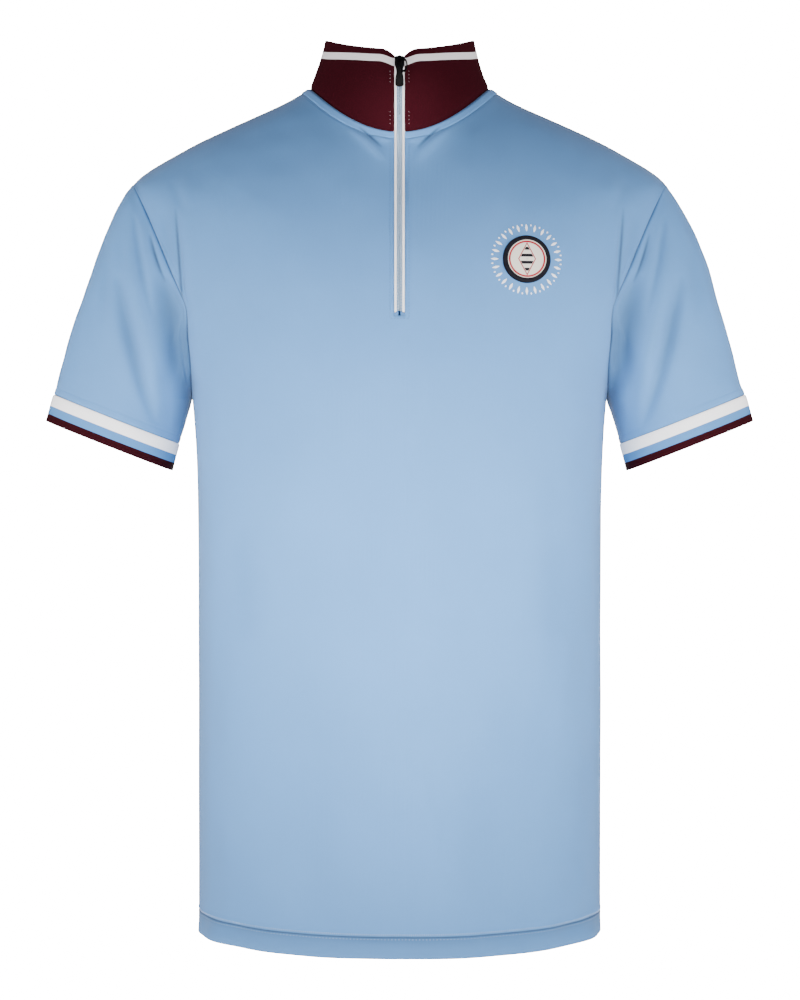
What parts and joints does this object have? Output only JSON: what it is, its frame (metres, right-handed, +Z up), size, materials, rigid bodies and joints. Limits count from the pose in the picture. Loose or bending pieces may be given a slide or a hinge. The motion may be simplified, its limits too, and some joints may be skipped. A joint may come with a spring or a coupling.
{
  "type": "half-zip polo shirt",
  "caption": "Short-sleeved knit polo shirt in its worn form, with a stand collar, a half zip at the centre front, striped rib cuffs and a straight hem.",
  "frame": {"origin": "midway between the two points where the shoulder seams meet the collar, where the wearer's shoulders hold the shirt", "axes": "+Z up towards the collar, +X towards the wearer's left sleeve, -Y out of the front, where the zip is"},
  "size_m": [0.599, 0.2414, 0.7611],
  "materials": {
    "body_knit": "matte knit with a soft sheen",
    "burgundy_rib": "matte fine rib",
    "zip_tape": "woven tape",
    "zip_coil": "satin nylon coil",
    "piping": "smooth folded knit",
    "zip_metal": "black enamel",
    "badge": "embroidered twill"
  },
  "bodies": {
    "shirt": {"front": "body_knit", "back": "body_knit", "sleeve_left": "body_knit", "sleeve_right": "body_knit", "cuff_left": "burgundy_rib", "cuff_right": "burgundy_rib", "collar": "burgundy_rib", "zip_tape_left": "zip_tape", "zip_tape_right": "zip_tape", "zip_coil_left": "zip_coil", "zip_coil_right": "zip_coil", "zip_piping_left": "piping", "zip_piping_right": "piping", "slider": "zip_metal", "chest_badge": "badge"},
    "pull_tab": {"pull_tab": "zip_metal"}
  },
  "joints": [
    {"name": "pull_tab_hinge", "type": "hinge", "parent": "shirt", "child": "pull_tab", "pos_m": [0, -0.06231, 0.01695], "axis": [-1, 0, 0], "range_deg": [0, 150]}
  ]
}
